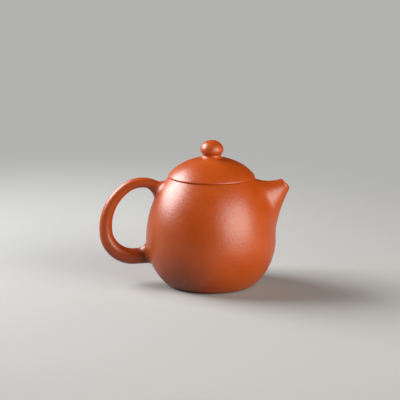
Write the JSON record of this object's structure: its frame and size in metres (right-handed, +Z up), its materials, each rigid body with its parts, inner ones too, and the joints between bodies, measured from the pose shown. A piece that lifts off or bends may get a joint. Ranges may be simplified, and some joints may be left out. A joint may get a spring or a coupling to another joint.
{
  "type": "clay teapot",
  "caption": "Egg-shaped unglazed red clay teapot with a loop handle, a short beak spout with a pierced strainer behind it, and a lift-off domed lid with a ball knob, for brewing tea.",
  "frame": {"origin": "centre of the foot ring's flat underside, on the pot's axis", "axes": "+Z up along the pot's axis, +X towards the spout, -X towards the handle"},
  "size_m": [0.1245, 0.0852, 0.0957],
  "materials": {
    "red_clay": "unglazed fired clay, burnished to a satin sheen"
  },
  "bodies": {
    "pot": {"body_wall": "red_clay", "base_disc": "red_clay", "foot_ring": "red_clay", "mouth_ring": "red_clay", "spout": "red_clay", "ball_strainer": "red_clay", "handle": "red_clay"},
    "lid_guide": {"lid_flange": "red_clay"},
    "lid": {"lid_dome": "red_clay", "knob_collar": "red_clay", "knob_ball": "red_clay"}
  },
  "joints": [
    {"name": "lid_lift", "type": "slide", "parent": "pot", "child": "lid_guide", "axis": [0, 0, 1], "range_m": [0, 0.06]},
    {"name": "lid_turn", "type": "hinge", "parent": "lid_guide", "child": "lid", "pos_m": [0, 0, 0.0716], "axis": [0, 0, 1], "continuous": true}
  ]
}
